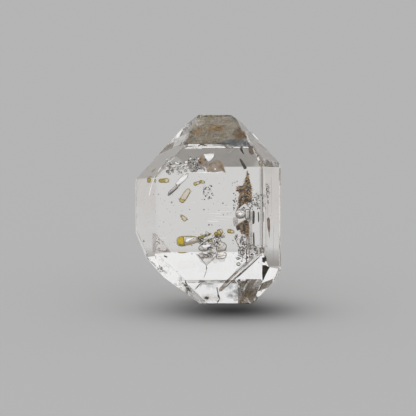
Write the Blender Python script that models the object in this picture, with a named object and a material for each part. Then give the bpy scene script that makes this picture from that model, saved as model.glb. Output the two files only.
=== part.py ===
"""Herkimer diamond: one clear, doubly terminated quartz crystal, standing on a small flat spot.

The crystal is a block cut down by its natural faces. Six prism faces stand upright round the c axis, and six
sloping faces close each end. It is flattened front to back, so both ends finish in a ridge. A ledge at the back,
growth steps and two healed cracks are cut afterwards, and then the crystal leans back until its foot is level.

Each face is given in the crystal's own frame: the c axis is Z, the middle of the prism is the origin, azimuth 0
looks at the viewer (-Y) and azimuth 90 points right (+X). Lengths are in millimetres until they reach Blender.
"""

import math

import bmesh
import bpy
from mathutils import Matrix, Vector

MM = 0.001
BLOCK = 90.0
NAME = "quartz_crystal"

# Quartz's tip faces slope at 51.8 degrees from the base plane. Two of this crystal's are a little steeper.
TIP_SLOPE = 51.8
STEEP_TIP_SLOPE = 53.0
LOWER_FRONT_SLOPE = 52.5

# Prism faces: azimuth in degrees, distance from the c axis.
PRISM_FACES = (
    (0, 6.12),
    (60, 11.39),
    (120, 11.42),
    (180, 6.12),
    (240, 11.70),
    (300, 11.01),
)

# Tip faces: azimuth, slope, height at which the face's plane crosses the c axis.
UPPER_FACES = (
    (0, TIP_SLOPE, 18.53),
    (64, TIP_SLOPE, 23.37),
    (120, TIP_SLOPE, 21.96),
    (180, TIP_SLOPE, 15.38),
    (240, TIP_SLOPE, 19.80),
    (299, TIP_SLOPE, 19.55),
)
LOWER_FACES = (
    (0, LOWER_FRONT_SLOPE, -15.57),
    (56, TIP_SLOPE, -24.66),
    (120, TIP_SLOPE, -27.02),
    (180, TIP_SLOPE, -22.60),
    (240, STEEP_TIP_SLOPE, -19.58),
    (304, TIP_SLOPE, -22.32),
)
SUMMIT_CHIP = (90, 36.0, 19.89)

# The crystal leans back by this much when it stands on its foot, a level cut across the lower ridge.
LEAN = 9.0
FOOT_AXIS_HEIGHT = -17.31

# Round the back of the foot, growth stopped short. The lower back face is set in above it, by a little more
# towards the right. Risers that lie like prism faces join it to the foot's ledge: azimuth, distance from the
# c axis, and the height at which the set-in face above the riser crosses that axis.
RISERS = (
    (180, 5.13, -18.53),
    (120, 7.30, -18.33),
)

# Growth steps on the upper faces: azimuth, thickness of the missing layer, height above which it is missing.
FACE_STEPS = (
    (64, 0.24, 13.86),
    (120, 0.21, 13.95),
    (0, 0.08, 15.38),
)

# Healed cracks that reach the lower front face: start and end (X, Z), width of the groove.
CRACKS = (
    ((9.45, -7.95), (2.40, -14.63), 0.30),
    ((1.73, -14.10), (1.65, -16.70), 0.18),
)


def outward(azimuth, slope):
    """Unit normal of a face: slope 90 is a prism face, and a negative slope faces down."""
    around = math.radians(azimuth)
    tilt = math.radians(abs(slope))
    level = Vector((math.sin(around), -math.cos(around), 0.0)) * math.sin(tilt)
    return level + Vector((0.0, 0.0, math.copysign(math.cos(tilt), slope)))


def prism_plane(azimuth, distance):
    normal = outward(azimuth, 90)
    normal.z = 0.0
    return normal * distance, normal


def tip_plane(azimuth, slope, axis_height):
    """Plane of a tip face. One that crosses the axis below the middle faces down."""
    return Vector((0.0, 0.0, axis_height)), outward(azimuth, math.copysign(slope, axis_height))


def foot_plane():
    lean = math.radians(LEAN)
    return Vector((0.0, 0.0, FOOT_AXIS_HEIGHT)), Vector((0.0, math.sin(lean), -math.cos(lean)))


def cut_block(name, planes, frame, collection):
    """A block cut down to what lies behind every plane, given as a point and an outward normal."""
    bm = bmesh.new()
    bmesh.ops.create_cube(bm, size=BLOCK * MM)
    for point, normal in planes:
        everything = bm.verts[:] + bm.edges[:] + bm.faces[:]
        cut = bmesh.ops.bisect_plane(
            bm, geom=everything, plane_co=point * MM, plane_no=normal, clear_outer=True
        )
        rim = [item for item in cut["geom_cut"] if isinstance(item, bmesh.types.BMEdge)]
        if rim:
            bmesh.ops.edgeloop_fill(bm, edges=rim)
    bmesh.ops.recalc_face_normals(bm, faces=bm.faces[:])
    return link_mesh(name, bm, frame, collection)


def link_mesh(name, bm, frame, collection):
    mesh = bpy.data.meshes.new(name)
    bm.to_mesh(mesh)
    bm.free()
    body = bpy.data.objects.new(name, mesh)
    body.parent = frame
    collection.objects.link(body)
    return body


def cut_away(body, cutter):
    """Removes the cutter from the body, and keeps the cutter out of the render."""
    cutter.hide_render = True
    cutter.display_type = "WIRE"
    boolean = body.modifiers.new(cutter.name, "BOOLEAN")
    boolean.operation = "DIFFERENCE"
    boolean.solver = "EXACT"
    boolean.object = cutter


def grow_crystal(frame, parts):
    """The convex crystal: every prism face, every tip face, the summit's chip and the foot."""
    planes = [prism_plane(*face) for face in PRISM_FACES]
    planes += [tip_plane(*face) for face in UPPER_FACES + LOWER_FACES]
    planes += [tip_plane(*SUMMIT_CHIP), foot_plane()]
    return cut_block(NAME, planes, frame, parts)


def cut_back_ledge(crystal, frame, cutters):
    """Sets the lower back face in, as far down as the risers that lead to the foot's ledge."""
    for azimuth, distance, axis_height in RISERS:
        point, normal = tip_plane(180, TIP_SLOPE, axis_height)
        foot, outside = prism_plane(azimuth, distance)
        name = f"back_ledge_cutter_{azimuth}"
        cut_away(crystal, cut_block(name, [(point, -normal), (foot, -outside)], frame, cutters))


def cut_face_steps(crystal, frame, cutters):
    """Takes a thin layer off the upper part of some faces, which leaves a growth step across each."""
    axis_heights = {azimuth: height for azimuth, slope, height in UPPER_FACES}
    for azimuth, layer, from_height in FACE_STEPS:
        lowered = axis_heights[azimuth] - layer / math.cos(math.radians(TIP_SLOPE))
        point, normal = tip_plane(azimuth, TIP_SLOPE, lowered)
        step = (Vector((0.0, 0.0, from_height)), Vector((0.0, 0.0, -1.0)))
        name = f"face_step_cutter_{azimuth}"
        cut_away(crystal, cut_block(name, [(point, -normal), step], frame, cutters))


def on_lower_front(x, z):
    """The point of the lower front face that is seen at this X and Z."""
    depth = (LOWER_FACES[0][2] - z) / math.tan(math.radians(LOWER_FRONT_SLOPE))
    return Vector((x, depth, z))


def cut_cracks(crystal, frame, cutters):
    """V grooves where healed cracks reach the lower front face. Each cutter is a square bar, set on its edge."""
    normal = outward(0, -LOWER_FRONT_SLOPE)
    for index, (start, end, width) in enumerate(CRACKS, 1):
        first = on_lower_front(*start)
        along = on_lower_front(*end) - first
        length = along.length
        along.normalize()
        turn = Matrix((normal.cross(along), normal, along)).transposed()
        turn = Matrix.Rotation(math.radians(45), 3, along) @ turn
        bm = bmesh.new()
        bmesh.ops.create_cube(bm, size=1.0)
        bmesh.ops.scale(bm, vec=Vector((width, width, length)) * MM, verts=bm.verts)
        bmesh.ops.rotate(bm, matrix=turn, verts=bm.verts)
        bmesh.ops.translate(bm, vec=(first + along * length / 2) * MM, verts=bm.verts)
        bmesh.ops.recalc_face_normals(bm, faces=bm.faces[:])
        cut_away(crystal, link_mesh(f"crack_cutter_{index}", bm, frame, cutters))


def stand_on_foot(crystal, frame):
    """Leans the frame back and sets it down: foot at Z 0, the origin under the middle of the crystal's box."""
    frame.rotation_euler = (-math.radians(LEAN), 0.0, 0.0)
    bpy.context.view_layer.update()
    evaluated = crystal.evaluated_get(bpy.context.evaluated_depsgraph_get())
    points = [evaluated.matrix_world @ vertex.co for vertex in evaluated.to_mesh().vertices]
    low = [min(point[axis] for point in points) for axis in range(3)]
    high = [max(point[axis] for point in points) for axis in range(3)]
    evaluated.to_mesh_clear()
    frame.location = (-(low[0] + high[0]) / 2, -(low[1] + high[1]) / 2, -low[2])


def quartz_material():
    material = bpy.data.materials.new("rock crystal")
    material.use_nodes = True
    shader = material.node_tree.nodes["Principled BSDF"]
    shader.inputs["Base Color"].default_value = (0.93, 0.92, 0.90, 1.0)
    shader.inputs["Roughness"].default_value = 0.02
    shader.inputs["Metallic"].default_value = 0.0
    shader.inputs["IOR"].default_value = 1.544
    shader.inputs["Transmission Weight"].default_value = 1.0
    return material


def clear_scene():
    for old in list(bpy.data.objects):
        bpy.data.objects.remove(old, do_unlink=True)


def build():
    clear_scene()
    parts = bpy.data.collections.new("herkimer_diamond")
    cutters = bpy.data.collections.new("cutters")
    bpy.context.scene.collection.children.link(parts)
    bpy.context.scene.collection.children.link(cutters)
    frame = bpy.data.objects.new("crystal_frame", None)
    parts.objects.link(frame)

    crystal = grow_crystal(frame, parts)
    crystal.data.materials.append(quartz_material())
    cut_back_ledge(crystal, frame, cutters)
    cut_face_steps(crystal, frame, cutters)
    cut_cracks(crystal, frame, cutters)
    stand_on_foot(crystal, frame)


build()
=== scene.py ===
import math
import random
from functools import cache

import bmesh
import bpy
from mathutils import Matrix, Vector


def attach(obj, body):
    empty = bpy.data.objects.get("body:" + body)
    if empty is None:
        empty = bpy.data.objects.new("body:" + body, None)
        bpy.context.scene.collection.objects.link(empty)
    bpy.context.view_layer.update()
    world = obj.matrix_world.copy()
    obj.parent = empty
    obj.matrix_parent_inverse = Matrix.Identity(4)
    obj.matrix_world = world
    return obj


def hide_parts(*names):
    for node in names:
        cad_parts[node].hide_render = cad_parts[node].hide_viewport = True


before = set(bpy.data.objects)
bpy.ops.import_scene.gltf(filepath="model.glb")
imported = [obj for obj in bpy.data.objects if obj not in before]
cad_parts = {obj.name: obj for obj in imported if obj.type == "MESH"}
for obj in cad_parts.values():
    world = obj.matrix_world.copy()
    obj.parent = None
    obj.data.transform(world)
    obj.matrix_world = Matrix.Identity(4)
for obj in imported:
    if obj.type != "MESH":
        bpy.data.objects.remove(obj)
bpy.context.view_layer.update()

# How the crystal stands. It grew with its long axis upright, and leans back a little on its small foot.
# Places in it are given in millimetres in its own frame: to the right (X), back (Y) and up its axis (Z).
mm = 0.001
lean = math.radians(9.0)
foot_below_middle = 17.31 * mm
crystal_middle = Vector((0.0, 0.0, foot_below_middle * math.cos(lean)))
crystal_stand = Matrix.Translation(crystal_middle) @ Matrix.Rotation(-lean, 4, "X")

# The quartz crystal: one clear quartz, grown free in a hollow of its rock, with bright natural faces.
# Its long edges are a hair's breadth blunt. Faint growth lines run across its faces.
edge_bluntness = 0.07 * mm
shortest_blunt_edge = 2.0 * mm
flattest_blunt_edge = math.radians(15)
same_point = 0.001 * mm
same_face = math.radians(0.2)
quartz_ior = 1.544
quartz_smoke = (0.86, 0.83, 0.8)
quartz_smoke_density = 6.0
growth_lines_per_m = (120.0, 120.0, 1400.0)
growth_line_detail = 3.0
growth_line_strength = 0.05
growth_line_height = 0.05 * mm


def crystal_piece(name, bm, finishes):
    """A piece of the crystal from a mesh in metres in the crystal's own frame, stood up on its foot."""
    bmesh.ops.transform(bm, matrix=crystal_stand, verts=bm.verts)
    mesh = bpy.data.meshes.new(name)
    bm.to_mesh(mesh)
    bm.free()
    piece = bpy.data.objects.new(name, mesh)
    bpy.context.scene.collection.objects.link(piece)
    for finish in finishes:
        mesh.materials.append(finish)
    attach(piece, "root")
    return piece


def crystal_mesh():
    """The crystal's solid, as its flat faces, in its own frame."""
    bm = bmesh.new()
    bm.from_mesh(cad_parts["quartz_crystal"].data)
    bmesh.ops.transform(bm, matrix=crystal_stand.inverted(), verts=bm.verts)
    bmesh.ops.remove_doubles(bm, verts=bm.verts, dist=same_point)
    bmesh.ops.dissolve_limit(bm, angle_limit=same_face, verts=bm.verts[:], edges=bm.edges[:])
    return bm


def blunt_edges(bm):
    long_edges = [
        edge
        for edge in bm.edges
        if edge.calc_length() > shortest_blunt_edge and edge.calc_face_angle(0.0) > flattest_blunt_edge
    ]
    bmesh.ops.bevel(
        bm, geom=long_edges, offset=edge_bluntness, segments=1, profile=0.5, affect="EDGES", clamp_overlap=True
    )


def set_input(tree, socket, value):
    """Gives an input a value, or joins another node's output to it."""
    if isinstance(value, bpy.types.NodeSocket):
        tree.links.new(value, socket)
    elif socket.type == "RGBA":
        socket.default_value = (*value, 1.0)
    else:
        socket.default_value = value


def add_node(tree, kind, inputs=None, **settings):
    """A shader node with its settings. Its inputs, by name or number, get values or other nodes' outputs."""
    node = tree.nodes.new(f"ShaderNode{kind}")
    for name, value in settings.items():
        setattr(node, name, value)
    for name, value in (inputs or {}).items():
        set_input(tree, node.inputs[name], value)
    return node


def feed(finish, name, value):
    """Gives an input of a finish's shader a value or another node's output."""
    set_input(finish.node_tree, finish.node_tree.nodes["Principled BSDF"].inputs[name], value)


def new_finish(name, colour, roughness, transmission=0.0, ior=1.5):
    finish = bpy.data.materials.new(name)
    finish.use_nodes = True
    feed(finish, "Base Color", colour)
    feed(finish, "Roughness", roughness)
    feed(finish, "Metallic", 0.0)
    feed(finish, "Transmission Weight", transmission)
    feed(finish, "IOR", ior)
    return finish


def place_in_crystal(tree):
    """The shaded point in the crystal's own frame, before it was stood up and leaned back."""
    stood = add_node(tree, "TexCoord").outputs["Object"]
    back = {"Vector": stood, "Location": crystal_middle, "Rotation": (-lean, 0.0, 0.0)}
    return add_node(tree, "Mapping", back, vector_type="TEXTURE").outputs["Vector"]


def clear_quartz_finish():
    """Clear quartz with a faintly smoky body, and growth lines in slight relief."""
    finish = new_finish("clear quartz", (1.0, 1.0, 1.0), roughness=0.0, transmission=1.0, ior=quartz_ior)
    tree = finish.node_tree
    body = {"Color": quartz_smoke, "Density": quartz_smoke_density}
    smoke = add_node(tree, "VolumeAbsorption", body).outputs["Volume"]
    set_input(tree, tree.nodes["Material Output"].inputs["Volume"], smoke)
    lines = add_node(tree, "Mapping", {"Vector": place_in_crystal(tree), "Scale": growth_lines_per_m})
    grain = {"Vector": lines.outputs["Vector"], "Scale": 1.0, "Detail": growth_line_detail}
    growth = add_node(tree, "TexNoise", grain).outputs["Fac"]
    relief = {"Height": growth, "Strength": growth_line_strength, "Distance": growth_line_height}
    feed(finish, "Normal", add_node(tree, "Bump", relief).outputs["Normal"])
    return finish


solid = crystal_mesh()
blunt_edges(solid)
quartz = crystal_piece("clear_quartz", solid, [clear_quartz_finish()])
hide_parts("quartz_crystal")

# The oil cavities: flat hollows that the crystal closed over while it grew, filled with golden oil. Most
# also hold gas, which shows as a pale window beside the oil. A thin dark bead runs round each one's edge
# and round its gas: painted shade for the dark outline that a cavity's wall shows.
oil_gold = (0.86, 0.66, 0.03)
oil_olive = (0.66, 0.56, 0.14)
oil_pale = (0.84, 0.7, 0.26)
oil_shade = 0.82
# The painted shade on the cavities' edges: dark olive, in patches of a paler gold.
oil_edge_painted_shade = (0.48, 0.36, 0.05)
oil_edge_painted_shade_pale = (0.95, 0.8, 0.22)
oil_ior = 1.10
gas_tint = (0.96, 0.88, 0.77)
gas_shade = 0.93
gas_ior = 1.22
# Each cavity: name, middle (X, Y, Z), length, height, turn in degrees, taper, colour, where its gas begins
# (as a share of the length from the middle).
oil_cavities = (
    ("large", (-3.67, -1.2, -5.65), 3.78, 1.58, 7, 0.26, oil_gold, -0.17),
    ("long", (-4.09, -2.0, 2.38), 2.77, 0.97, 57, 0.06, oil_pale, -0.3),
    ("left", (-7.83, -4.0, 5.06), 1.78, 0.67, 2, -0.1, oil_olive, 0.1),
    ("far_left", (-10.01, -2.9, 5.11), 1.33, 0.7, 0, 0.1, oil_olive, None),
    ("corner", (-9.36, -2.2, 6.59), 0.94, 0.65, 30, 0.1, oil_olive, None),
    ("hook", (-4.39, -3.0, -1.55), 1.33, 0.58, -46, -0.45, oil_pale, -0.25),
    ("curl", (-1.98, -3.0, 4.57), 1.15, 0.5, 18, 0.3, oil_pale, -0.1),
    ("curl_end", (-1.03, -3.0, 4.82), 0.94, 0.43, -8, 0.2, oil_olive, -0.1),
    ("right", (4.07, -2.2, -4.0), 1.19, 0.61, -12, 0.2, oil_olive, 0.0),
    ("cluster_top", (2.16, -1.4, -4.07), 0.97, 0.9, 30, 0.2, oil_pale, 0.0),
    ("cluster_left", (1.48, -1.2, -4.5), 0.76, 0.54, -30, 0.2, oil_olive, None),
    ("cluster_low", (0.43, -1.1, -5.62), 0.79, 0.36, -24, 0.2, oil_pale, None),
    ("thread", (-1.15, -1.0, -4.97), 1.26, 0.27, 6, 0.0, oil_olive, None),
    ("thread_end", (0.18, -1.0, -4.57), 0.83, 0.22, 30, 0.0, oil_olive, None),
)
cavity_points = 20
cavity_rings = 5
cavity_crown = 0.5
cavity_flatness = 0.55
cavity_squareness = 3.2
rim_width = 0.15
gas_rim_width = 0.09
rim_sides = 6
rim_slot = 1
gas_slot = 2
patch_detail = 4.0
evenly = (1.0, 1.0, 1.0)


def maths(tree, operation, first, second):
    """The result of one step of arithmetic on two values or outputs."""
    return add_node(tree, "Math", {0: first, 1: second}, operation=operation).outputs["Value"]


def patchiness_group():
    """Soft patches all over a piece: how many to a millimetre, which pattern, and how much they cover."""
    group = bpy.data.node_groups.new("patchiness", "ShaderNodeTree")
    new_socket = group.interface.new_socket
    for name, value in (("Patches per mm", 1.0), ("Pattern", 0.0), ("Cover", 0.5), ("Softness", 0.15)):
        new_socket(name=name, in_out="INPUT", socket_type="NodeSocketFloat").default_value = value
    new_socket(name="Stretch", in_out="INPUT", socket_type="NodeSocketVector").default_value = evenly
    new_socket(name="Mask", in_out="OUTPUT", socket_type="NodeSocketFloat")
    given = group.nodes.new("NodeGroupInput").outputs
    place = {0: place_in_crystal(group), "Scale": 1.0 / mm}
    in_mm = add_node(group, "VectorMath", place, operation="SCALE").outputs["Vector"]
    stretched = add_node(group, "VectorMath", {0: in_mm, 1: given["Stretch"]}, operation="MULTIPLY")
    spot = stretched.outputs["Vector"]
    pattern = {"Vector": spot, "Scale": given["Patches per mm"], "W": given["Pattern"], "Detail": patch_detail}
    cloud = add_node(group, "TexNoise", pattern, noise_dimensions="4D").outputs["Fac"]
    middle = maths(group, "SUBTRACT", 1.0, given["Cover"])
    low = maths(group, "SUBTRACT", middle, given["Softness"])
    high = maths(group, "ADD", middle, given["Softness"])
    rise = {"Value": cloud, "From Min": low, "From Max": high}
    spread = add_node(group, "MapRange", rise, interpolation_type="SMOOTHSTEP")
    mask = group.nodes.new("NodeGroupOutput").inputs["Mask"]
    group.links.new(spread.outputs["Result"], mask)
    return group


patchiness = patchiness_group()


def add_patches(finish, per_mm, pattern, cover=0.5, softness=0.15, stretch=evenly):
    """The mask of the patchiness group, placed in a finish with its own values."""
    values = {
        "Patches per mm": per_mm, "Pattern": pattern, "Cover": cover, "Softness": softness, "Stretch": stretch,
    }
    return add_node(finish.node_tree, "Group", values, node_tree=patchiness).outputs["Mask"]


def blend_colours(finish, mask, first, second):
    """A colour that goes from first to second as the mask goes from 0 to 1. Each is a colour or an output."""
    mix = add_node(finish.node_tree, "Mix", {"Factor": mask}, data_type="RGBA")
    for socket, colour in zip([s for s in mix.inputs if s.type == "RGBA"], (first, second)):
        set_input(finish.node_tree, socket, colour)
    return [s for s in mix.outputs if s.type == "RGBA"][0]


def rounded_outline(length, height, taper, squareness=cavity_squareness, points=cavity_points):
    """A rounded box of that length and height, narrower to the right by the taper."""
    outline = []
    for step in range(points):
        angle = 2.0 * math.pi * (step + 0.5) / points
        along = math.copysign(abs(math.cos(angle)) ** (2.0 / squareness), math.cos(angle))
        up = math.copysign(abs(math.sin(angle)) ** (2.0 / squareness), math.sin(angle))
        outline.append((along * length / 2.0, up * (1.0 - taper * along) * height / 2.0))
    return outline


def part_of(outline, at, side):
    """What is left of an outline beyond an upright line: to its right if side is 1, to its left if -1."""
    kept = []
    for (ax, az), (bx, bz) in zip(outline, outline[1:] + outline[:1]):
        if (ax - at) * side >= 0:
            kept.append((ax, az))
        if (ax - at) * (bx - at) < 0:
            kept.append((at, az + (bz - az) * (at - ax) / (bx - ax)))
    return kept


def centre(outline):
    return [sum(places) / len(outline) for places in zip(*outline)]


def pillow(bm, outline, thickness, place, turn, hollow=True, rings=cavity_rings, finish=0):
    """A crowned closed form of an outline. A hollow one faces inwards, as a cavity's wall does."""
    centre_x, centre_z = centre(outline)
    middle = Vector(place) + turn @ Vector((centre_x, 0.0, centre_z))
    rows = []
    for ring in range(1, 2 * rings):
        angle = math.pi * (ring / (2.0 * rings) - 0.5)
        spread = math.cos(angle) ** cavity_crown
        depth = math.sin(angle) * thickness / 2.0
        points = [Vector(((x - centre_x) * spread, depth, (z - centre_z) * spread)) for x, z in outline]
        rows.append([bm.verts.new(middle + turn @ point) for point in points])
    tips = [Vector((0.0, end * thickness / 2.0, 0.0)) for end in (-1, 1)]
    front, back = [bm.verts.new(middle + turn @ tip) for tip in tips]
    faces = []
    for index in range(len(outline)):
        following = (index + 1) % len(outline)
        faces.append(bm.faces.new((front, rows[0][index], rows[0][following])))
        faces.append(bm.faces.new((back, rows[-1][following], rows[-1][index])))
        for row, deeper in zip(rows, rows[1:]):
            faces.append(bm.faces.new((row[index], deeper[index], deeper[following], row[following])))
    for face in faces:
        face.smooth = True
        face.material_index = finish
        if hollow:
            face.normal_flip()
    return [front, back] + [vert for row in rows for vert in row]


def rim(bm, outline, width, place, turn):
    """A thin round bead along the widest line of a pillow, which carries the painted shade of its dark outline.
    """
    middle = Vector(place)
    loops = []
    for index, (x, z) in enumerate(outline):
        (ax, az), (bx, bz) = outline[index - 1], outline[(index + 1) % len(outline)]
        out = Vector((bz - az, 0.0, ax - bx)).normalized()
        ring = []
        for side in range(rim_sides):
            angle = 2.0 * math.pi * side / rim_sides
            offset = (out * math.cos(angle) + Vector((0.0, math.sin(angle), 0.0))) * width / 2.0
            ring.append(bm.verts.new(middle + turn @ (Vector((x, 0.0, z)) + offset)))
        loops.append(ring)
    for ring, following in zip(loops, loops[1:] + loops[:1]):
        for side in range(rim_sides):
            face = bm.faces.new((ring[side], ring[side - 1], following[side - 1], following[side]))
            face.smooth = True
            face.material_index = rim_slot


def in_view_turn(degrees, tip=0.0, swing=0.0):
    """Turned by some degrees in the plane of the front face, then tipped and swung out of it."""
    return (
        Matrix.Rotation(math.radians(swing), 3, "Z")
        @ Matrix.Rotation(math.radians(tip), 3, "X")
        @ Matrix.Rotation(math.radians(-degrees), 3, "Y")
    )


def bury(name, bm, finishes):
    """A piece inside the crystal, from a mesh in millimetres."""
    bmesh.ops.scale(bm, vec=(mm, mm, mm), verts=bm.verts)
    crystal_piece(name, bm, finishes)


def patchy_finish(name, light, dark, roughness, pattern, per_mm=1.6, transmission=0.0, ior=1.5):
    """A finish whose colour changes in patches from light to dark."""
    finish = new_finish(name, light, roughness, transmission, ior)
    feed(finish, "Base Color", blend_colours(finish, add_patches(finish, per_mm, pattern), light, dark))
    return finish


def shaded(colour, share):
    return tuple(share * part for part in colour)


# The finish of the painted edge shade round the oil cavities.
oil_edge_painted_shade_finish = patchy_finish("oil edge painted shade", oil_edge_painted_shade, oil_edge_painted_shade_pale, roughness=0.3, pattern=9.0, per_mm=1.2)
gas_wall = patchy_finish(
    "gas in the oil", gas_tint, shaded(gas_tint, gas_shade),
    roughness=0.0, pattern=2.0, transmission=1.0, ior=gas_ior,
)
oil_walls = {
    colour: patchy_finish(
        f"golden oil {number}", colour, shaded(colour, oil_shade),
        roughness=0.03, pattern=5.0, per_mm=0.8, transmission=1.0, ior=oil_ior,
    )
    for number, colour in enumerate((oil_gold, oil_pale, oil_olive), 1)
}
for name, place, length, height, degrees, taper, colour, gas_from in oil_cavities:
    turn = in_view_turn(degrees)
    thickness = height * cavity_flatness
    cavity = bmesh.new()
    edge = rounded_outline(length, height, taper)
    rim(cavity, edge, rim_width, place, turn)
    oil = edge
    if gas_from is not None:
        oil = part_of(edge, gas_from * length, -1)
        gas = part_of(edge, gas_from * length, 1)
        pillow(cavity, gas, thickness, place, turn, finish=gas_slot)
        rim(cavity, gas, gas_rim_width, place, turn)
    pillow(cavity, oil, thickness, place, turn)
    bury(f"oil_cavity_{name}", cavity, [oil_walls[colour], oil_edge_painted_shade_finish, gas_wall])

# The gas voids: empty hollows and pinched-off bubbles in healed cracks. Their walls mirror the light, so
# some glint white, and most have a dark rim: painted shade for the dark outline that a void's wall shows.
void_tint = (0.98, 0.97, 0.96)
void_tint_brown = (0.8, 0.74, 0.66)
# The painted shade round a void's edge: near black, in patches of brown.
void_edge_painted_shade = (0.05, 0.035, 0.025)
void_edge_painted_shade_brown = (0.22, 0.16, 0.11)
glint_white = (0.99, 0.99, 0.99)
glint_grey = (0.9, 0.9, 0.9)
void_rim_width = 0.08
single_rim_width = 0.112
glint_slot = 2
# A void whose draw is below the first share is a glint. Below the second, it gets the painted edge shade.
glint_share = 0.40
rimmed_share = 0.74
# How thick a glint and a void are for their size, and how far each is turned, tipped and swung, in degrees.
glint_thickness = 0.15
void_thickness = (0.15, 0.5)
glint_turns = ((-60, 60), (-24, -6), (-20, 20))
void_turns = ((-60, 60), (-40, 40), (-40, 40))
simple_rings = 2
round_rings = 3
pinched_points = 12
pinched_stretch = (1.0, 1.9)
pinched_reach = (0.7, 1.15)
# Places that hold both voids and dark specks: depths (front, back), outline (X, Z).
shared_places = {
    "middle": ((-4.4, -2.4), ((-0.9, 4.32), (1.08, 4.14), (0.72, 1.62), (-0.9, 1.62))),
    "edge_line": ((-3.7, -3.0), ((9.54, 4.68), (10.8, 4.5), (10.62, 1.08), (9.72, 1.08))),
    "left_edge": ((-2.4, -1.4), ((-10.98, -7.74), (-10.26, -7.56), (-7.2, -11.16), (-7.74, -11.34))),
    "foot_edge": ((0.0, 0.4), ((-4.68, -12.78), (-3.96, -12.78), (-2.52, -14.76), (-3.24, -14.94))),
}
# Each field of voids: name, seed, count, sizes, depths (front, back), outline (X, Z).
void_fields = (
    ("below_cavity", 4, 46, (0.22, 0.72), (-1.6, 0.8),
     ((-2.16, -4.41), (3.24, -4.32), (1.8, -7.38), (-1.44, -7.56))),
    ("upper_left", 8, 60, (0.22, 0.62), (-4.8, -2.4),
     ((-7.74, 7.2), (-6.48, 8.28), (-1.62, 8.46), (-1.44, 6.66), (-3.6, 6.66), (-6.84, 6.12))),
    ("upper_line", 9, 26, (0.18, 0.42), (-4.8, -3.0),
     ((-3.6, 9.18), (-0.36, 8.82), (-0.36, 7.02), (-3.24, 7.74))),
    ("middle", 12, 16, (0.18, 0.42), *shared_places["middle"]),
    ("right_edge", 15, 42, (0.14, 0.42), (-4.6, -2.6),
     ((7.74, 2.52), (9.36, 2.88), (9.36, 0.18), (6.12, 0.0), (6.48, 0.72))),
    ("below_tree", 23, 34, (0.14, 0.4), (-3.8, -1.8),
     ((4.68, -4.68), (7.02, -4.86), (7.02, -8.46), (5.76, -7.74))),
    ("crack_head", 31, 32, (0.18, 0.55), (-5.2, -3.0), ((7.02, -6.3), (9.72, -6.3), (9.72, -7.74), (7.2, -8.64))),
    ("edge_line", 37, 22, (0.14, 0.4), *shared_places["edge_line"]),
    ("left_edge", 48, 22, (0.12, 0.38), *shared_places["left_edge"]),
    ("foot_edge", 49, 26, (0.12, 0.4), *shared_places["foot_edge"]),
    ("scattered", 44, 50, (0.08, 0.22), (-5.0, 1.0), ((-9.0, 5.58), (5.04, 5.76), (5.04, -7.02), (-9.0, -7.02))),
)


def inside(point, outline):
    """Whether a point (X, Z) lies inside an outline."""
    x, z = point
    within = False
    for (ax, az), (bx, bz) in zip(outline, outline[1:] + outline[:1]):
        if (az > z) != (bz > z) and x < ax + (z - az) * (bx - ax) / (bz - az):
            within = not within
    return within


def scatter(outline, count, draw):
    """Points spread at random inside an outline."""
    spans = [(min(places), max(places)) for places in zip(*outline)]
    points = []
    while len(points) < count:
        point = [draw.uniform(*span) for span in spans]
        if inside(point, outline):
            points.append(point)
    return points


def pinched_outline(size, draw):
    """A small uneven outline, longer than it is high."""
    stretch = draw.uniform(*pinched_stretch)
    outline = []
    for step in range(pinched_points):
        angle = 2.0 * math.pi * step / pinched_points
        reach = size / 2.0 * draw.uniform(*pinched_reach)
        outline.append((reach * stretch * math.cos(angle), reach * math.sin(angle)))
    return outline


def random_turn(turns, draw):
    return in_view_turn(*[draw.uniform(*limits) for limits in turns])


void_wall = patchy_finish(
    "gas void wall", void_tint, void_tint_brown,
    roughness=0.0, pattern=6.0, per_mm=2.0, transmission=1.0, ior=quartz_ior,
)
void_edge_painted_shade_finish = patchy_finish("gas void edge painted shade", void_edge_painted_shade, void_edge_painted_shade_brown, roughness=0.4, pattern=8.0, per_mm=1.2)
glint = patchy_finish("glint", glint_white, glint_grey, roughness=0.22, pattern=12.0)
feed(glint, "Metallic", 1.0)
for name, seed, count, sizes, depths, outline in void_fields:
    draw = random.Random(seed)
    voids = bmesh.new()
    for x, z in scatter(outline, count, draw):
        size = draw.uniform(*sizes)
        edge = pinched_outline(size, draw)
        place = (x, draw.uniform(*depths), z)
        kind = draw.random()
        if kind < glint_share:
            turn = random_turn(glint_turns, draw)
            pillow(voids, edge, size * glint_thickness, place, turn, False, simple_rings, glint_slot)
            continue
        turn = random_turn(void_turns, draw)
        pillow(voids, edge, size * draw.uniform(*void_thickness), place, turn, rings=round_rings)
        if kind < rimmed_share:
            rim(voids, edge, void_rim_width, place, turn)
    bury(f"gas_voids_{name}", voids, [void_wall, void_edge_painted_shade_finish, glint])
# Single voids that stand out: name, middle, length, height, turn, taper, thickness, squareness of outline.
single_voids = (
    ("window", (5.8, -3.0, -0.86), 1.73, 1.62, 4, 0.0, 0.9, 2.6),
    ("pane", (7.0, -3.1, -0.94), 0.72, 1.8, 0, 0.0, 0.3, 5.0),
    ("loop", (2.41, 0.2, -6.73), 1.73, 1.69, -12, 0.3, 0.12, 3.4),
    ("hollow", (-0.76, -0.6, -7.06), 1.8, 0.94, -14, 0.5, 0.16, 2.0),
    ("dot_upper", (5.33, -3.4, -8.35), 0.47, 0.5, 0, 0.0, 0.4, 2.0),
    ("dot_lower", (5.44, -2.6, -9.36), 0.68, 0.72, 0, 0.0, 0.6, 2.0),
    ("tube_upper", (-6.01, -2.6, 3.62), 2.59, 0.43, 41, 0.0, 0.4, 4.0),
    ("tube_lower", (-6.26, -2.3, 3.19), 2.27, 0.34, 41, 0.0, 0.34, 4.0),
)
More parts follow.
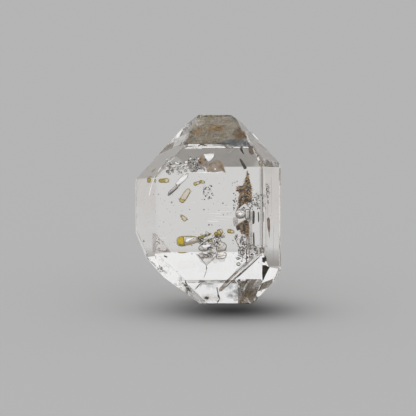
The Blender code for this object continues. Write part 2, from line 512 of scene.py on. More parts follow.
for name, place, length, height, degrees, taper, thickness, squareness in single_voids:
    void = bmesh.new()
    edge = rounded_outline(length, height, taper, squareness)
    turn = in_view_turn(degrees)
    pillow(void, edge, thickness, place, turn)
    rim(void, edge, single_rim_width, place, turn)
    bury(f"gas_void_{name}", void, [void_wall, void_edge_painted_shade_finish])

# The frost and the glints: healed cracks and growth steps in the quartz. The frost scatters the light and has
# a painted glow as well, so it shows white. The glints lie flat enough to mirror the light.
frost_white = (0.95, 0.95, 0.95)
frost_shade = (0.82, 0.82, 0.83)
# The painted glow of the frost, as the strength of its own light.
frost_painted_glow = 0.5
sliver_taper = 0.3
sliver_squareness = 2.0
# How thick a sliver, a mark and a speck are for their width.
solid_thickness = 0.5
# Each streak: ends (X, Y, Z), width.
frost_streaks = (
    ((-3.91, -4.6, 6.48), (2.5, -4.6, 6.44), 0.22),
    ((-4.61, -4.6, 5.76), (-3.8, -4.6, 6.48), 0.22),
    ((-9.0, -5.0, 5.9), (-9.86, -4.2, 4.1), 0.3),
    ((-9.86, -4.2, 4.1), (-10.3, -3.5, 2.3), 0.36),
    ((-8.14, -4.4, 7.47), (-8.82, -4.8, 6.41), 0.3),
    ((0.2, -5.9, -0.76), (2.3, -5.9, -0.79), 0.14),
    ((-0.2, -5.9, -2.14), (1.91, -5.9, -2.2), 0.2),
    ((0.9, -6.0, -1.3), (4.61, -6.0, -1.44), 0.09),
    ((0.4, -6.0, -1.75), (3.91, -6.0, -1.94), 0.08),
    ((1.44, -6.0, -0.43), (4.68, -6.0, -0.5), 0.08),
    ((-9.36, -5.3, -5.08), (-7.33, -5.8, -5.15), 0.16),
    ((-3.24, -5.9, 1.21), (-2.16, -5.9, 1.15), 0.06),
    ((2.39, -5.9, 0.4), (4.39, -5.9, 0.36), 0.06),
)


def with_gaps(finish, per_mm, pattern, cover):
    """Lets a finish cover only part of its piece, in soft patches."""
    feed(finish, "Alpha", add_patches(finish, per_mm, pattern, cover, softness=0.3))
    return finish


def frost_finish():
    """White, with a painted glow: light of its own for the light that a fine healed crack gathers from all round.
    """
    finish = patchy_finish("frost", frost_white, frost_shade, roughness=0.5, pattern=13.0, per_mm=2.5)
    feed(finish, "Emission Color", frost_white)
    feed(finish, "Emission Strength", frost_painted_glow)
    return with_gaps(finish, per_mm=1.6, pattern=4.0, cover=0.75)


def streak(bm, start, end, width, finish=0):
    """A thin tapered sliver from start to end."""
    first = Vector(start)
    along = Vector(end) - first
    edge = rounded_outline(along.length, width, sliver_taper, sliver_squareness)
    turn = along.to_track_quat("X", "Y").to_matrix()
    pillow(bm, edge, width * solid_thickness, first + along / 2.0, turn, False, simple_rings, finish)


frost_with_painted_glow = frost_finish()
streaks = bmesh.new()
for start, end, width in frost_streaks:
    streak(streaks, start, end, width)
bury("frost_streaks", streaks, [frost_with_painted_glow])

# The crystal's front faces: the depth of each one's plane at the crystal's middle, and how much deeper it
# lies for each millimetre to the right and up.
front_faces = (
    (-6.12, 0.0, 0.0), (-22.78, 1.732, 0.0), (-22.02, -1.732, 0.0), (-14.58, 0.0, 0.787), (-41.95, 2.05, 1.795),
    (-31.73, -1.804, 1.623), (-11.95, 0.0, -0.767), (-34.71, 1.483, -1.407), (-31.41, -1.483, -1.407),
)
tipped_back = 0.14
sheet_thickness = 0.1


def front_depth(x, z):
    """The depth of the crystal's front at X and Z."""
    return max(depth + across * x + up * z for depth, across, up in front_faces)


def flat_patch(bm, outline, place, depth, thickness=sheet_thickness, finish=0):
    """A thin piece of an outline: just under the skin, or inside, flat and tipped back a little."""
    centre_x, centre_z = centre(outline)
    shifted = [(x - centre_x, z - centre_z) for x, z in outline]
    middle = (centre_x, depth, centre_z)
    if place == "inside":
        tipped = Matrix(((1.0, 0.0, 0.0), (0.0, 1.0, tipped_back), (0.0, 0.0, 1.0)))
        pillow(bm, shifted, thickness, middle, tipped, False, simple_rings, finish)
        return
    for vert in pillow(bm, shifted, thickness, middle, Matrix.Identity(3), False, round_rings, finish):
        vert.co.y += front_depth(vert.co.x, vert.co.z)


def bury_patch(name, outline, place, depth, finish, thickness=sheet_thickness):
    """A flat patch that is a piece by itself."""
    patch = bmesh.new()
    flat_patch(patch, outline, place, depth, thickness)
    bury(name, patch, [finish])


# Each glint: name, depth, outline (X, Z).
glints = (
    ("gleam", -3.2,
     ((-5.83, 4.43), (-5.11, 5.47), (-4.39, 6.19), (-3.46, 6.37), (-3.6, 5.65), (-4.25, 4.93), (-4.93, 4.36),
      (-5.58, 4.1))),
    ("arrow", -3.0, ((-0.97, 9.94), (1.19, 10.01), (1.12, 9.36), (0.65, 8.71), (0.11, 8.28), (-0.43, 8.75))),
    ("spark", -4.4, ((1.01, 7.09), (1.3, 7.34), (1.55, 7.06), (1.26, 6.73))),
    ("blob", -2.0,
     ((-1.26, -6.41), (-0.43, -6.12), (0.72, -6.19), (0.36, -6.73), (-0.32, -7.16), (-0.86, -6.95))),
    ("bubble_light", -1.8,
     ((-3.89, -5.15), (-3.13, -5.0), (-2.41, -5.18), (-3.2, -5.69), (-3.67, -6.16), (-4.03, -5.9))),
    ("cross", -3.6,
     ((5.76, -0.14), (5.98, -0.65), (6.44, -0.76), (6.01, -1.04), (5.87, -1.62), (5.62, -1.08), (5.11, -0.94),
      (5.58, -0.65))),
    ("band", -3.8, ((-6.91, 7.6), (-6.3, 7.96), (-4.46, 7.99), (-4.39, 7.67), (-6.48, 7.24))),
)
for name, depth, outline in glints:
    bury_patch(f"glint_{name}", outline, "inside", depth, glint)

# The stains: films of clay and rust a hair's breadth inside the quartz, where its last layer grew over them.
# They lie along the healed cracks, at the left corner, near the base and on the foot. The films under the
# upper faces are laid the same way but are painted light: a painted reflection under the top face, and
# painted shade on the upper right face.
# Each kind: two colours, patches per mm, stretch, cover, softness, pattern.
stain_kinds = {
    "beige": ((0.96, 0.9, 0.79), (0.66, 0.6, 0.49), 0.9, (0.45, 1.0, 2.2), 0.9, 0.35, 3.0),
    "pale beige": ((1.0, 0.95, 0.84), (0.72, 0.62, 0.48), 1.6, (0.6, 1.0, 1.8), 0.56, 0.14, 4.4),
    "gold": ((0.96, 0.68, 0.34), (0.58, 0.38, 0.18), 1.8, (0.6, 1.0, 1.6), 0.7, 0.25, 7.0),
    "blue grey": ((0.58, 0.63, 0.66), (0.4, 0.44, 0.46), 1.2, (0.6, 1.0, 1.4), 0.8, 0.25, 9.0),
    "brown grey": ((0.66, 0.58, 0.5), (0.36, 0.31, 0.26), 1.1, evenly, 0.84, 0.28, 11.0),
    "pale blue grey": ((0.8, 0.86, 0.92), (0.5, 0.54, 0.58), 1.3, evenly, 0.7, 0.28, 13.0),
    "pale gold": ((1.0, 0.9, 0.66), (0.9, 0.74, 0.46), 1.0, evenly, 0.7, 0.3, 15.0),
    "rust": ((0.9, 0.62, 0.38), (0.34, 0.2, 0.11), 1.8, evenly, 0.6, 0.22, 17.0),
    "pink grey": ((0.98, 0.86, 0.8), (0.74, 0.62, 0.57), 0.9, evenly, 0.85, 0.3, 19.0),
    "haze": ((0.96, 0.86, 0.76), (0.54, 0.45, 0.37), 1.2, evenly, 0.6, 0.3, 23.0),
}
# Each film: name, kind, strength, where it lies, depth, outline (X, Z).
stain_films = (
    # The films named top paint the mirrored image of the stains near the base, which the top face shows by total
    # reflection: painted reflection.
    ("top", "beige", 0.44, "skin", 0.36,
     ((-1.73, 16.52), (4.14, 16.6), (5.04, 15.95), (6.3, 13.68), (7.45, 11.16), (7.49, 10.94), (4.5, 10.94),
      (4.14, 11.41), (-4.43, 11.41), (-4.28, 11.81), (-2.99, 14.76))),
    ("top_rim", "pale beige", 0.2, "skin", 0.36, ((-4.46, 11.38), (4.32, 11.38), (4.5, 10.76), (-4.57, 10.76))),
    ("top_light", "pale beige", 0.5, "skin", 0.32,
     ((-1.62, 16.45), (4.03, 16.52), (4.79, 15.91), (6.01, 13.68), (7.09, 11.56), (-4.18, 11.56), (-3.96, 11.81),
      (-2.77, 14.76))),
    ("top_left", "brown grey", 0.34, "skin", 0.2,
     ((-3.13, 15.19), (-3.6, 13.14), (-4.72, 11.16), (-6.01, 11.09), (-4.93, 13.21))),
    # The upper right film darkens the upper right face: painted shade.
    ("upper_right", "brown grey", 0.28, "skin", 0.2,
     ((7.56, 12.42), (8.39, 10.26), (9.79, 7.6), (12.71, 7.52), (12.71, 7.99), (9.72, 11.34), (8.46, 12.6))),
    ("base", "brown grey", 0.12, "skin", 0.26,
     ((6.66, -13.0), (9.47, -13.0), (7.85, -16.92), (5.76, -16.96), (6.12, -15.3))),
    ("base_wide", "haze", 0.07, "skin", 0.38,
     ((5.58, -13.14), (9.29, -13.0), (7.67, -16.92), (4.57, -16.85), (4.97, -14.76))),
    ("crack", "rust", 0.55, "skin", 0.2,
     ((2.05, -14.83), (1.87, -14.4), (3.31, -12.67), (5.11, -10.98), (5.33, -11.27), (3.71, -13.0),
      (2.45, -14.72))),
    ("crack_upper", "haze", 0.3, "skin", 0.36,
     ((4.39, -11.59), (5.04, -10.76), (7.31, -8.75), (9.65, -7.34), (9.76, -7.6), (7.74, -9.11), (5.58, -11.23),
      (4.72, -12.13))),
    ("crack_head", "haze", 0.34, "skin", 0.9,
     ((7.02, -6.91), (9.72, -6.73), (9.76, -7.63), (8.46, -7.7), (7.02, -7.7))),
    ("corner", "pink grey", 0.28, "skin", 0.22, ((-9.79, -4.25), (-9.22, -4.32), (-6.52, -7.67), (-9.76, -7.7))),
    ("veil", "haze", 0.26, "skin", 0.24,
     ((-2.23, -7.88), (1.98, -7.88), (1.08, -8.96), (-0.25, -10.04), (-1.37, -9.25))),
    ("veil_lobe", "haze", 0.16, "skin", 0.24,
     ((0.36, -8.75), (1.8, -8.57), (3.13, -8.64), (2.99, -9.29), (1.08, -9.61))),
    ("column", "haze", 0.34, "inside", -2.9, ((6.95, -0.4), (7.9, -0.45), (7.85, -6.3), (7.0, -6.2))),
    ("below_window", "haze", 0.4, "inside", -2.8, ((4.43, -1.55), (5.29, -1.4), (5.4, -2.99), (4.57, -3.1))),
)
# Each mottled place under the skin: name, kinds, strength, seed, count, sizes, depth, outline (X, Z).
stain_mottles = (
    # The mottles named top paint the same mirrored image of the stains near the base: painted reflection.
    ("top", ("pale beige", "beige"), 0.22, 71, 70, (0.35, 1.1), 0.12,
     ((-1.62, 16.27), (3.96, 16.34), (4.68, 15.73), (5.83, 13.68), (6.91, 11.7), (-3.96, 11.59), (-3.53, 12.53),
      (-2.59, 14.76))),
    ("top_gold", ("gold",), 0.24, 72, 22, (0.25, 0.65), 0.09,
     ((-0.72, 13.95), (-0.36, 14.87), (0.9, 15.05), (2.34, 14.62), (2.52, 14.11), (1.08, 13.86))),
    ("top_left_gold", ("gold", "pale beige"), 0.26, 73, 18, (0.25, 0.7), 0.09,
     ((-2.7, 13.75), (-1.8, 14.51), (-0.43, 14.33), (-0.72, 13.75), (-2.16, 13.36))),
    ("top_right_gold", ("gold", "brown grey", "rust"), 0.28, 74, 34, (0.25, 0.75), 0.09,
     ((3.49, 12.89), (4.03, 13.72), (5.11, 14.29), (6.23, 13.72), (6.73, 12.64), (5.4, 12.38), (4.39, 12.96))),
    ("top_blue", ("blue grey",), 0.2, 75, 44, (0.4, 0.95), 0.09,
     ((2.27, 11.74), (3.78, 12.35), (5.76, 12.2), (7.09, 11.77), (7.31, 11.16), (2.95, 11.12))),
    ("top_left", ("rust", "beige"), 0.2, 76, 22, (0.2, 0.55), 0.09,
     ((-4.03, 12.06), (-3.24, 13.86), (-1.98, 13.57), (-2.16, 12.06), (-3.42, 11.59))),
    ("base_brown", ("brown grey", "haze"), 0.07, 77, 36, (0.4, 1.1), 0.18,
     ((5.22, -13.43), (8.93, -13.43), (8.21, -15.12), (5.76, -15.12))),
    ("base_gold", ("gold", "haze", "rust"), 0.09, 78, 50, (0.25, 0.85), 0.14,
     ((5.4, -15.05), (8.1, -14.69), (7.49, -16.67), (4.57, -16.7))),
    ("base_blue", ("pale blue grey",), 0.07, 79, 44, (0.4, 1.0), 0.14,
     ((3.31, -13.68), (5.33, -13.43), (6.01, -14.87), (5.04, -16.13), (3.42, -15.77))),
    ("base_cream", ("pale gold",), 0.03, 80, 40, (0.5, 1.2), 0.14,
     ((-1.51, -15.7), (1.08, -15.3), (2.23, -16.45), (-0.97, -16.45))),
    ("base_grey", ("pale blue grey",), 0.05, 81, 16, (0.5, 1.2), 0.14,
     ((-0.61, -13.14), (1.51, -12.96), (1.51, -14.15), (-0.11, -14.33))),
)
film_thickness = 0.04
mottle_thickness = 0.02
mottle_depth_spread = 0.05
stain_roughness = 0.6
stain_tone_softness = 0.12
# The gaps in a film are larger than its patches of colour, and lie elsewhere.
gap_scale = 0.7
gap_shift = 0.7
foot_brown = (0.42, 0.37, 0.27)
foot_gold = (0.58, 0.45, 0.24)
foot_kind = (foot_brown, foot_gold, 0.9, evenly, 0.8, 0.3, 29.0)
foot_strength = 0.95
foot_inset = 0.12 * mm
foot_faces_down = -0.99


def stain_finish(name, strength, light, dark, per_mm, stretch, cover, softness, pattern):
    """A film of two colours in patches, which covers part of its outline."""
    finish = new_finish(name, light, stain_roughness)
    tones = add_patches(finish, per_mm, pattern, 0.5, stain_tone_softness, stretch)
    feed(finish, "Base Color", blend_colours(finish, tones, light, dark))
    gaps = add_patches(finish, gap_scale * per_mm, pattern + gap_shift, cover, softness, stretch)
    feed(finish, "Alpha", maths(finish.node_tree, "MULTIPLY", gaps, strength))
    return finish


@cache
def stain(kind, strength):
    """The finish of a kind of stain at a strength, made once."""
    return stain_finish(f"{kind} stain {strength}", strength, *stain_kinds[kind])


def foot_skin():
    """The foot's face, moved in a little."""
    bm = crystal_mesh()
    bm.normal_update()
    upright = crystal_stand.to_3x3()
    others = [face for face in bm.faces if (upright @ face.normal).z > foot_faces_down]
    bmesh.ops.delete(bm, geom=others, context="FACES")
    for vert in bm.verts:
        vert.co -= vert.normal * foot_inset
    return bm


for name, kind, strength, place, depth, outline in stain_films:
    bury_patch(f"stain_{name}", outline, place, depth, stain(kind, strength), film_thickness)
for name, kinds, strength, seed, count, sizes, depth, outline in stain_mottles:
    draw = random.Random(seed)
    mottles = bmesh.new()
    for x, z in scatter(outline, count, draw):
        edge = [(x + across, z + up) for across, up in pinched_outline(draw.uniform(*sizes), draw)]
        deeper = depth + draw.uniform(0.0, mottle_depth_spread)
        flat_patch(mottles, edge, "skin", deeper, mottle_thickness, draw.randrange(len(kinds)))
    bury(f"stain_mottles_{name}", mottles, [stain(kind, strength) for kind in kinds])
foot_film = stain_finish("clay film on the foot", foot_strength, *foot_kind)
crystal_piece("stain_foot", foot_skin(), [foot_film])

# The brown flakes: thin plates of rusty clay. They settled on the crystal's faces while it grew, and its
# next layers sealed them in.
flake_light = (0.84, 0.71, 0.56)
flake_brown = (0.52, 0.38, 0.28)
flake_gold = (0.86, 0.56, 0.26)
flake_dark = (0.14, 0.08, 0.05)
# Each flake: name, finish, where it lies, depth, outline (X, Z).
flakes = (
    ("sail", "light", "inside", -4.0,
     ((-0.18, 6.66), (0.07, 7.74), (0.54, 8.35), (1.3, 8.53), (2.09, 8.39), (2.59, 7.67), (2.95, 6.62),
      (2.41, 6.77), (1.22, 6.52))),
    ("sail_edge", "gold", "inside", -4.2,
     ((1.73, 8.57), (2.3, 8.42), (2.81, 7.49), (3.17, 6.41), (2.7, 6.66), (2.34, 7.52))),
    ("arm", "light", "inside", -4.2,
     ((-1.69, 9.0), (-1.15, 9.29), (-0.43, 8.53), (0.47, 7.38), (0.86, 6.62), (0.0, 6.59), (-0.79, 7.63),
      (-1.51, 8.28))),
    ("arm_head", "gold", "inside", -4.4,
     ((-1.76, 9.04), (-1.04, 9.47), (-0.65, 8.71), (-0.97, 8.14), (-1.62, 8.32))),
    ("side_strip", "brown", "skin", 0.35,
     ((10.4, -1.7), (10.7, -1.4), (10.95, -1.85), (11.0, -3.7), (10.8, -4.6), (10.5, -3.3))),
    ("side_strip_low", "gold", "skin", 0.25, ((10.6, -2.0), (10.85, -2.1), (10.95, -5.4), (10.75, -4.4))),
    ("upper_right", "brown", "inside", -4.2,
     ((7.13, 10.87), (7.81, 10.76), (8.17, 9.94), (7.74, 9.54), (7.27, 10.04))),
)


def clay_finish(name, light, dark, cover):
    finish = patchy_finish(name, light, dark, roughness=0.5, pattern=17.0)
    return with_gaps(finish, per_mm=1.2, pattern=21.0, cover=cover)


clay = {
    "light": clay_finish("pale brown clay", flake_light, flake_brown, 0.85),
    "brown": clay_finish("brown clay", flake_brown, flake_dark, 0.85),
    "gold": clay_finish("rusty clay", flake_gold, flake_brown, 0.88),
}
for name, kind, place, depth, outline in flakes:
    bury_patch(f"brown_flake_{name}", outline, place, depth, clay[kind])

# The fir tree and the rusty mass below it: golden brown platelets that grew one over another. The tree is
# narrow at the top, and its plates slope down and out from the middle.
tree_outline = (
    (7.02, 6.98), (7.24, 5.83), (7.49, 4.97), (7.78, 3.78), (7.81, 1.66), (7.42, 0.86), (6.7, 1.04), (5.94, 0.5),
    (5.08, -0.18), (5.54, 0.94), (5.44, 1.91), (5.65, 2.77), (5.04, 3.35), (5.26, 4.03), (6.16, 4.18),
    (6.55, 4.93), (6.84, 5.9),
)
mass_outline = (
    (5.4, -2.59), (6.37, -2.05), (7.27, -2.23), (7.34, -3.96), (7.16, -5.22), (6.77, -4.61), (5.87, -4.39),
)
tree_depths = (-4.1, -3.2)
tree_gold = (1.0, 0.74, 0.38)
tree_brown = (0.76, 0.43, 0.17)
tree_dark = (0.07, 0.035, 0.015)
tree_black = (0.03, 0.02, 0.01)
tree_gold_sheen = 0.35
# How far a plate slopes, tips and swings, in degrees, how high it is for its length, and so on.
plate_turns = ((10, 50), (-50, 50), (-35, 35))
plate_height = (0.16, 0.30)
plate_taper = 0.3
plate_squareness = 2.4
plate_points = 8
plate_thickness = 0.1
core_depth = -3.1
core_cover = 0.62
# Each cluster: name, seed, outline (X, Z), middle (X), how many plates, sizes, how their tones are dealt out
# (0 is gold, 1 brown, 2 dark, 3 a glint).
plate_clusters = (
    ("fir_tree", 5, tree_outline, 7.0, 230, (0.3, 0.95), (0, 0, 0, 0, 1, 2, 2, 2, 3)),
    ("rusty_mass", 6, mass_outline, 6.6, 66, (0.3, 0.9), (0, 0, 1, 1, 2)),
)
tree_finishes = [
    patchy_finish(f"tree {tone}", light, dark, roughness=0.3, pattern=27.0, per_mm=2.2)
    for tone, light, dark in (
        ("gold", tree_gold, tree_brown), ("brown", tree_brown, tree_dark), ("dark", tree_dark, tree_black)
    )
]
feed(tree_finishes[0], "Metallic", tree_gold_sheen)
core_finish = clay_finish("tree core", tree_brown, tree_dark, core_cover)
for name, seed, outline, trunk, count, sizes, tones in plate_clusters:
    draw = random.Random(seed)
    plates = bmesh.new()
    for x, z in scatter(outline, count, draw):
        size = draw.uniform(*sizes)
        slope, tip, swing = [draw.uniform(*limits) for limits in plate_turns]
        turn = in_view_turn(-slope if x > trunk else slope, tip, swing)
        height = size * draw.uniform(*plate_height)
        edge = rounded_outline(size, height, plate_taper, plate_squareness, plate_points)
        place = (x, draw.uniform(*tree_depths), z)
        pillow(plates, edge, size * plate_thickness, place, turn, False, simple_rings, draw.choice(tones))
    bury(f"{name}_plates", plates, [*tree_finishes, glint])
    bury_patch(f"{name}_core", outline, "inside", core_depth, core_finish)

# The dark marks and specks: bits of black pitch and dark clay that the crystal took in as it grew, some in
# rows along old growth faces. The thin lines just under its skin are the edges of healed cracks.
pitch_black = (0.035, 0.028, 0.022)
pitch_brown = (0.12, 0.08, 0.05)
clay_brown = (0.26, 0.15, 0.09)
clay_pale = (0.95, 0.92, 0.86)
clay_pale_shade = (0.72, 0.66, 0.58)
# Each mark: tone (0 is pitch, 1 brown clay), middle (X, Y, Z), length, height, turn in degrees, taper.
dark_marks = (
    (0, (6.19, -4.0, 8.03), 2.09, 0.49, -60, -0.3),
    (0, (6.05, -4.2, 10.3), 1.33, 0.38, -62, 0.2),
    (0, (6.66, -4.3, -2.2), 0.83, 0.54, 12, 0.1),
    (0, (5.33, -4.2, -3.31), 0.86, 1.04, 12, 0.1),
    (0, (6.41, -4.3, -3.31), 0.5, 1.51, 8, 0.2),
    (1, (7.06, -3.5, -3.71), 0.25, 1.98, 0, 0.1),
    (0, (8.1, -3.6, -1.48), 0.41, 2.34, -1, 0.1),
    (0, (8.98, -3.8, -1.4), 0.22, 1.8, 2, 0.1),
    (1, (8.14, -3.6, -5.65), 0.31, 2.95, 2, -0.1),
    (0, (7.47, -3.6, -1.01), 0.13, 2.52, 0, 0.0),
    (0, (6.88, -3.2, -7.02), 0.14, 4.68, -1, 0.0),
    (1, (7.31, -3.4, -6.66), 0.13, 3.6, 1, 0.0),
    (1, (5.33, -3.6, -6.34), 3.13, 0.11, -66, 0.0),
    (1, (6.41, -3.6, -6.19), 2.52, 0.11, -72, 0.0),
    (0, (9.54, -5.9, 0.11), 0.12, 14.76, 0, 0.0),
    (1, (9.25, -5.9, 0.54), 0.07, 13.68, 0, 0.0),
    (0, (10.15, -4.0, 3.53), 0.79, 0.38, 38, 0.2),
    (1, (0.29, -2.6, -5.33), 3.24, 0.09, 9, 0.0),
    (1, (1.01, -2.4, -6.37), 2.34, 0.11, -24, 0.0),
    (0, (-0.5, -2.4, -5.87), 1.62, 0.11, 34, 0.0),
    (1, (2.52, -2.2, -7.49), 1.62, 0.09, 12, 0.0),
    (0, (1.69, -2.6, -4.93), 1.08, 0.14, -30, 0.0),
    (0, (0.54, -2.5, -6.91), 1.44, 0.09, -6, 0.0),
    (0, (8.33, -3.8, -6.95), 0.43, 0.25, 10, 0.2),
    (0, (9.4, -4.4, -7.42), 0.54, 0.32, 30, 0.2),
    (0, (-7.52, -5.0, -8.32), 0.79, 0.31, -35, 0.4),
    (0, (-11.12, -1.4, -5.76), 0.54, 0.32, -10, 0.2),
    (1, (-10.01, -2.5, -9.16), 1.8, 0.11, -38, 0.0),
    (0, (9.94, -4.4, -8.86), 0.65, 1.3, 8, 0.1),
    (1, (-9.29, -5.5, -6.19), 0.22, 0.22, 0, 0.0),
    (1, (-8.6, -5.7, -6.12), 0.22, 0.22, 0, 0.0),
)
# A mark much longer than it is wide is a straight bar. The others have a nibbled edge.
bar_slimness = 0.25
bar_squareness = 5.0
lump_squareness = 2.4
nibbled = (0.72, 1.12)
# Thin lines just under the skin: finish (0 pitch, 1 brown clay, 2 frost, 3 pale clay), ends (X, Z), width.
fine_lines = (
    (0, (-2.38, -14.47), (-0.86, -12.74), 0.24),
    (1, (-1.55, -13.93), (-0.43, -12.6), 0.14),
    (0, (2.88, -14.29), (6.12, -11.23), 0.22),
    (0, (5.11, -12.35), (9.36, -8.24), 0.16),
    (0, (2.77, -13.43), (5.04, -11.16), 0.2),
    (0, (4.32, -11.88), (8.21, -8.39), 0.14),
    (2, (3.78, -12.92), (8.64, -8.39), 0.16),
    (1, (5.47, -11.34), (8.28, -8.42), 0.1),
    (0, (1.58, -13.97), (1.84, -15.34), 0.26),
    (0, (1.84, -15.3), (2.09, -16.24), 0.3),
    (1, (2.05, -16.2), (1.66, -16.96), 0.22),
    (1, (-0.25, -9.94), (-0.29, -10.98), 0.14),
    (1, (-0.29, -10.98), (-0.79, -12.35), 0.1),
    (1, (-2.05, -7.81), (-0.25, -9.94), 0.12),
    (0, (1.76, -7.85), (-0.14, -9.83), 0.1),
    (1, (-4.5, 11.14), (-4.02, 12.06), 0.36),
    (1, (-4.03, 10.95), (-2.3, 11.14), 0.2),
    (0, (-1.87, 11.05), (-0.9, 11.52), 0.3),
    (1, (-1.62, 11.63), (-0.11, 11.05), 0.4),
    (1, (0.9, 11.24), (2.7, 11.2), 0.2),
    (1, (6.3, 13.43), (6.84, 12.46), 0.32),
    (1, (6.95, 11.88), (7.56, 11.02), 0.36),
    (1, (3.13, 12.42), (3.82, 13.5), 0.12),
    (1, (3.64, 13.61), (4.25, 13.43), 0.16),
    (3, (-1.91, 14.98), (0.9, 15.19), 0.24),
    (3, (0.36, 15.23), (3.78, 15.73), 0.22),
    (3, (-2.7, 13.39), (-0.9, 13.57), 0.16),
    (3, (-0.54, 12.6), (0.18, 14.22), 0.1),
    (3, (1.44, 11.88), (2.34, 13.68), 0.1),
    (3, (3.06, 14.58), (4.32, 15.3), 0.12),
    (1, (0.54, 12.17), (1.33, 13.5), 0.1),
    (1, (2.05, 13.93), (3.24, 14.4), 0.14),
    (1, (-4.61, 13.61), (-3.13, 14.36), 0.16),
    (1, (-4.93, 11.05), (-4.46, 12.17), 0.24),
    (1, (10.19, 0.9), (10.22, -8.82), 0.08),
    (1, (10.58, 0.9), (10.55, -1.44), 0.08),
    (1, (11.27, 7.02), (11.3, -1.26), 0.06),
    (1, (11.66, -2.34), (11.63, -9.54), 0.06),
    (2, (9.97, 7.02), (10.01, -7.38), 0.12),
)
fine_line_inset = 0.28
wedge_inset = 0.3
wedge_outline = ((9.68, -9.9), (10.33, -9.94), (10.91, -10.37), (10.33, -11.52), (9.76, -12.89), (9.65, -11.34))


def ragged(outline, draw):
    """An outline with its edge nibbled here and there."""
    reaches = [draw.uniform(*nibbled) for _ in outline]
    return [(x * reach, z * reach) for (x, z), reach in zip(outline, reaches)]


def pitch_finish(name, dark, light):
    finish = patchy_finish(name, dark, light, roughness=0.35, pattern=31.0, per_mm=2.4)
    return with_gaps(finish, per_mm=1.8, pattern=37.0, cover=0.8)


pitch = pitch_finish("black pitch", pitch_black, pitch_brown)
dark_clay = pitch_finish("dark clay", clay_brown, pitch_brown)
pale_clay = pitch_finish("pale clay", clay_pale, clay_pale_shade)
marks = bmesh.new()
mark_draw = random.Random(61)
for tone, place, length, height, degrees, taper in dark_marks:
    narrow = min(length, height)
    if narrow < bar_slimness * max(length, height):
        edge = rounded_outline(length, height, taper, bar_squareness)
    else:
        edge = ragged(rounded_outline(length, height, taper, lump_squareness), mark_draw)
    pillow(marks, edge, narrow * solid_thickness, place, in_view_turn(degrees), False, round_rings, tone)
# Lines of finish 2 are frost, with its painted glow.
for tone, start, end, width in fine_lines:
    ends = [(x, front_depth(x, z) + fine_line_inset, z) for x, z in (start, end)]
    streak(marks, *ends, width, tone)
flat_patch(marks, wedge_outline, "skin", wedge_inset)
bury("dark_marks", marks, [pitch, dark_clay, frost_with_painted_glow, pale_clay])
# Each field of specks: name, seed, count, sizes, depths (front, back), outline (X, Z).
speck_fields = (
    ("upper_left", 51, 22, (0.1, 0.3), (-4.9, -3.0),
     ((-7.74, 7.2), (-6.48, 8.28), (-1.44, 8.46), (-1.44, 6.48), (-3.6, 6.66), (-6.84, 6.12))),
    ("upper_line", 57, 22, (0.1, 0.3), (-4.9, -3.4), ((-3.96, 9.54), (-0.36, 9.0), (-0.36, 7.38), (-3.24, 7.92))),
    ("middle", 58, 18, (0.1, 0.3), *shared_places["middle"]),
    ("below_cavity", 52, 44, (0.1, 0.36), (-2.2, -0.5),
     ((-1.98, -4.5), (2.88, -4.32), (1.62, -7.02), (-1.08, -7.38))),
    ("below_tree", 53, 60, (0.07, 0.26), (-3.8, -1.8),
     ((4.68, -4.68), (7.02, -4.68), (7.02, -9.36), (5.94, -9.36))),
    ("beside_tree", 54, 28, (0.07, 0.26), (-3.8, -2.4), ((4.32, 4.86), (5.4, 5.4), (5.4, -1.8), (4.5, -0.9))),
    ("over_right", 59, 44, (0.07, 0.24), (-4.6, -2.6),
     ((5.76, 1.08), (7.92, 2.7), (9.54, 2.88), (9.36, 0.0), (6.12, -0.18))),
    ("crack_head", 55, 16, (0.1, 0.36), (-5.4, -3.6),
     ((6.84, -6.48), (9.72, -6.48), (9.72, -7.74), (7.02, -8.64))),
    ("edge_line", 60, 26, (0.1, 0.28), *shared_places["edge_line"]),
    ("left_edge", 62, 16, (0.08, 0.24), *shared_places["left_edge"]),
    ("foot_edge", 63, 16, (0.08, 0.26), *shared_places["foot_edge"]),
    ("all_over", 56, 90, (0.04, 0.13), (-2.5, 2.0),
     ((-10.98, 5.04), (10.98, 7.02), (11.34, -9.0), (-6.84, -11.52), (-10.44, -5.94))),
)
for name, seed, count, sizes, depths, outline in speck_fields:
    draw = random.Random(seed)
    specks = bmesh.new()
    for x, z in scatter(outline, count, draw):
        size = draw.uniform(*sizes)
        turn = in_view_turn(draw.uniform(0, 180))
        edge = pinched_outline(size, draw)
        place = (x, draw.uniform(*depths), z)
        pillow(specks, edge, size * solid_thickness, place, turn, False, simple_rings)
    bury(f"dark_specks_{name}", specks, [pitch])

# The floor: a wide sheet of pale card, far larger than the view, so that it fills the background too. It is
# grey, with a painted soft shadow. What is seen of it through the crystal has painted light behind and
# painted shade in front, so it is brighter behind than in front.
floor_reach = 3.0
floor_parts = 4
floor_roughness = 0.9
floor_seen = (0.545, 0.545, 0.545)
# The painted shade in front, as the crystal sees it.
floor_painted_shade_in_front = (0.36, 0.34, 0.32)
# The painted light behind, from left to right: place (X), colour.
floor_painted_light_behind = (
    (-0.09, (0.66, 0.632, 0.608)),
    (-0.04, (0.72, 0.715, 0.705)),
    (0.04, (0.72, 0.715, 0.705)),
    (0.09, (0.68, 0.66, 0.645)),
)
floor_bright_from = 0.038
floor_bright_at = 0.056
# The painted shadow: its middle, its reach to either side, and how dark it is.
shadow_middle = (0.0042, -0.0071)
shadow_reach = (0.0117, 0.0089)
shadow_depth = 0.88


def painted_soft_shadow(tree, place):
    """A mask for the painted shadow: 1 in its middle, fading out evenly round it."""
    reach = {"Vector": place, "Location": (*shadow_middle, 0.0), "Scale": (*shadow_reach, 1.0)}
    spot = add_node(tree, "Mapping", reach, vector_type="TEXTURE").outputs["Vector"]
    square = add_node(tree, "VectorMath", {0: spot, 1: spot}, operation="DOT_PRODUCT")
    return maths(tree, "POWER", 1.0 / math.e, square.outputs["Value"])


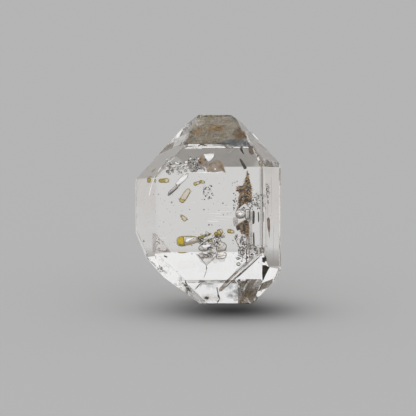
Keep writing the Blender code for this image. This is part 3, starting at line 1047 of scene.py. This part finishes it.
def along_stops(tree, at, stops):
    """The colour at a place along a row of stops. Each stop is a place from 0 to 1 and a colour."""
    ramp = add_node(tree, "ValToRGB", {"Fac": at})
    row = ramp.color_ramp.elements
    while len(row) < len(stops):
        row.new(0.5)
    for stop, (place, colour) in zip(row, stops):
        stop.position = place
        stop.color = (*colour, 1.0)
    return ramp.outputs["Color"]


def pale_card():
    """Card that shows the camera an even grey and the painted shadow, and shows the crystal painted light and
    shade.
    """
    finish = new_finish("pale card", floor_seen, floor_roughness)
    feed(finish, "Specular IOR Level", 0.0)
    tree = finish.node_tree
    place = add_node(tree, "TexCoord").outputs["Object"]
    axes = add_node(tree, "SeparateXYZ", {"Vector": place}).outputs
    backwards = {"Value": axes["Y"], "From Min": floor_bright_from, "From Max": floor_bright_at}
    rise = add_node(tree, "MapRange", backwards).outputs["Result"]
    left, right = floor_painted_light_behind[0][0], floor_painted_light_behind[-1][0]
    sideways = {"Value": axes["X"], "From Min": left, "From Max": right}
    across = add_node(tree, "MapRange", sideways).outputs["Result"]
    behind = along_stops(tree, across, [((x - left) / (right - left), colour) for x, colour in floor_painted_light_behind])
    painted_for_the_crystal = blend_colours(finish, rise, floor_painted_shade_in_front, behind)
    in_painted_shadow = shaded(floor_seen, 1.0 - shadow_depth)
    seen = blend_colours(finish, painted_soft_shadow(tree, place), floor_seen, in_painted_shadow)
    directly = add_node(tree, "LightPath").outputs["Is Camera Ray"]
    feed(finish, "Base Color", blend_colours(finish, directly, painted_for_the_crystal, seen))
    return finish


bpy.ops.mesh.primitive_grid_add(x_subdivisions=floor_parts, y_subdivisions=floor_parts, size=2 * floor_reach)
floor = bpy.context.object
floor.name = "floor"
floor.data.materials.append(pale_card())

# The light: a soft studio tent that goes all the way round the crystal, brightest half way up. It has a dim
# opening right overhead. Each height in degrees above the floor has its own brightness.
tent_light = ((-90, 0.4), (-4, 0.5), (4, 0.7), (15, 0.9), (30, 1.0), (60, 0.85), (72, 0.7), (80, 0.22), (90, 0.2))


def light_tent():
    world = bpy.data.worlds.new("light tent")
    bpy.context.scene.world = world
    world.use_nodes = True
    tree = world.node_tree
    direction = add_node(tree, "TexCoord").outputs["Generated"]
    height = add_node(tree, "SeparateXYZ", {"Vector": direction}).outputs["Z"]
    place = add_node(tree, "MapRange", {"Value": height, "From Min": -1.0}).outputs["Result"]
    stops = [((math.sin(math.radians(angle)) + 1.0) / 2.0, (light,) * 3) for angle, light in tent_light]
    set_input(tree, tree.nodes["Background"].inputs["Color"], along_stops(tree, place, stops))


light_tent()

# The camera: from far off it looks straight at the large front face, so it looks down on the floor by as
# much as the crystal leans. Light is followed far enough to come through the crystal and what is in it.
camera_distance = 360.0
camera_rise = 0.18
picture_width = 74.88
light_steps = 24
camera_data = bpy.data.cameras.new("camera")
camera_data.sensor_width = 36.0
camera_data.lens = camera_data.sensor_width * camera_distance / picture_width
camera_data.clip_start = 0.001
camera = bpy.data.objects.new("camera", camera_data)
studio = bpy.context.scene
studio.collection.objects.link(camera)
camera.location = crystal_stand @ (Vector((0.0, -camera_distance, camera_rise)) * mm)
camera.rotation_euler = (math.radians(90) - lean, 0.0, 0.0)
studio.camera = camera
studio.view_settings.view_transform = "Standard"
studio.cycles.max_bounces = light_steps
studio.cycles.transmission_bounces = light_steps
studio.cycles.glossy_bounces = light_steps
studio.cycles.transparent_max_bounces = light_steps
